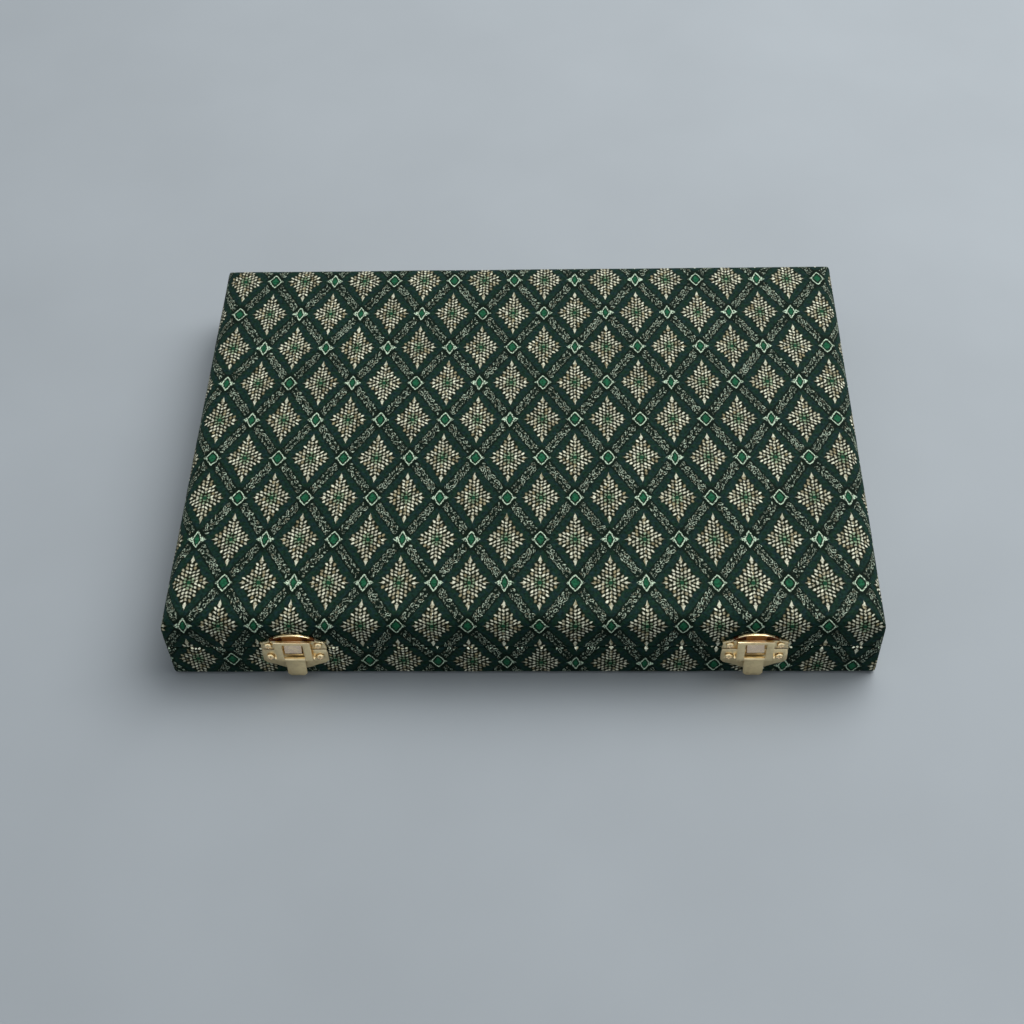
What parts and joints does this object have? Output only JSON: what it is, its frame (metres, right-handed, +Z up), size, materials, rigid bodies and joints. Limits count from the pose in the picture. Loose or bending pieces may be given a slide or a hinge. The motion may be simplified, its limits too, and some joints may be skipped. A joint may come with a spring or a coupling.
{
  "type": "amulet box",
  "caption": "Flat hinged keepsake case covered in lattice brocade, with two sprung flap latches, a padded lid and divided wells for amulets.",
  "frame": {"origin": "middle of the underside of the case, on the surface that it stands on", "axes": "+X to the right along the latched front's long side, +Y from the latched front to the hinged back, +Z up through the lid"},
  "size_m": [0.3, 0.2251, 0.0373],
  "materials": {
    "brocade": "satin brocade, dark green ground with a pale gold diamond lattice",
    "board": "raw fibreboard",
    "backing_paper": "dull black-green lining paper",
    "flocked_card": "dark green flock on card",
    "velvet": "dark green velvet over foam",
    "gilt_brass": "pale gold plate on stamped sheet",
    "spring_steel": "bare wire"
  },
  "bodies": {
    "base": {"base_floor_board": "board", "base_front_board": "board", "base_back_board": "board", "base_left_board": "board", "base_right_board": "board", "base_brocade_cover": "brocade", "base_bottom_sheet": "backing_paper", "base_wall_lining": "flocked_card", "base_floor_lining": "flocked_card", "long_divider_1": "flocked_card", "long_divider_2": "flocked_card", "cross_divider_1": "flocked_card", "cross_divider_2": "flocked_card", "cross_divider_3": "flocked_card", "cross_divider_4": "flocked_card", "cross_divider_5": "flocked_card", "left_latch_base_plate": "gilt_brass", "left_latch_pin": "gilt_brass", "left_latch_spring": "spring_steel", "left_hinge_base_leaf": "gilt_brass", "left_hinge_pin": "gilt_brass", "left_latch_base_screw_1": "gilt_brass", "left_hinge_base_screw_1": "gilt_brass", "left_latch_base_screw_2": "gilt_brass", "left_hinge_base_screw_2": "gilt_brass", "right_latch_base_plate": "gilt_brass", "right_latch_pin": "gilt_brass", "right_latch_spring": "spring_steel", "right_hinge_base_leaf": "gilt_brass", "right_hinge_pin": "gilt_brass", "right_latch_base_screw_1": "gilt_brass", "right_hinge_base_screw_1": "gilt_brass", "right_latch_base_screw_2": "gilt_brass", "right_hinge_base_screw_2": "gilt_brass"},
    "lid": {"lid_top_board": "board", "lid_front_board": "board", "lid_back_board": "board", "lid_left_board": "board", "lid_right_board": "board", "lid_brocade_cover": "brocade", "lid_wall_lining": "flocked_card", "lid_pad": "velvet", "left_latch_catch_plate": "gilt_brass", "left_hinge_lid_leaf": "gilt_brass", "left_latch_catch_screw_1": "gilt_brass", "left_hinge_lid_screw_1": "gilt_brass", "left_latch_catch_screw_2": "gilt_brass", "left_hinge_lid_screw_2": "gilt_brass", "right_latch_catch_plate": "gilt_brass", "right_hinge_lid_leaf": "gilt_brass", "right_latch_catch_screw_1": "gilt_brass", "right_hinge_lid_screw_1": "gilt_brass", "right_latch_catch_screw_2": "gilt_brass", "right_hinge_lid_screw_2": "gilt_brass"},
    "left_latch_flap": {"left_latch_flap": "gilt_brass"},
    "right_latch_flap": {"right_latch_flap": "gilt_brass"}
  },
  "joints": [
    {"name": "lid_hinge", "type": "hinge", "parent": "base", "child": "lid", "pos_m": [0, 0.1109, 0.0196], "axis": [-1, 0, 0], "range_deg": [0, 150]},
    {"name": "left_latch_press", "type": "hinge", "parent": "base", "child": "left_latch_flap", "pos_m": [-0.0955, -0.11075, 0.0146], "axis": [1, 0, 0], "range_deg": [0, 10], "stiffness_Nm_per_rad": 0.004, "springref_deg": -28.65},
    {"name": "right_latch_press", "type": "hinge", "parent": "base", "child": "right_latch_flap", "pos_m": [0.0974, -0.11075, 0.0146], "axis": [1, 0, 0], "range_deg": [0, 10], "stiffness_Nm_per_rad": 0.004, "springref_deg": -28.65}
  ]
}
